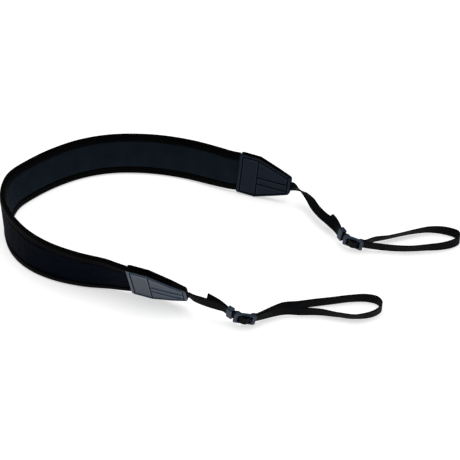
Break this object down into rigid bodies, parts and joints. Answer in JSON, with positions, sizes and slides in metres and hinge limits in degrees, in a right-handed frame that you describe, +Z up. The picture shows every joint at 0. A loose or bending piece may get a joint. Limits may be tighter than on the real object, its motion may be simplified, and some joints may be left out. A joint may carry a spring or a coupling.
{
  "type": "camera neck strap",
  "caption": "Padded camera neck strap with moulded end caps and a narrow adjustable webbing loop at each end, lying on its edge in a U.",
  "frame": {"origin": "centre of the bounding box at its base, on the table the strap lies on", "axes": "+X from the bend of the band towards its two ends and the webbing loops, +Y towards the wearer's left end, +Z up"},
  "size_m": [0.4414, 0.2344, 0.0465],
  "materials": {
    "pad": "matt knitted face over foam",
    "binding": "woven tape with a row of stitches",
    "cap": "moulded, satin, fine grain",
    "webbing": "narrow woven webbing",
    "fitting": "moulded, satin"
  },
  "bodies": {
    "root": {"neck_pad": "pad", "upper_binding": "binding", "lower_binding": "binding", "left_cap_outer": "cap", "left_cap_inner": "cap", "left_webbing": "webbing", "left_slide": "fitting", "left_keeper": "fitting", "right_cap_outer": "cap", "right_cap_inner": "cap", "right_webbing": "webbing", "right_slide": "fitting", "right_keeper": "fitting"}
  },
  "joints": []
}
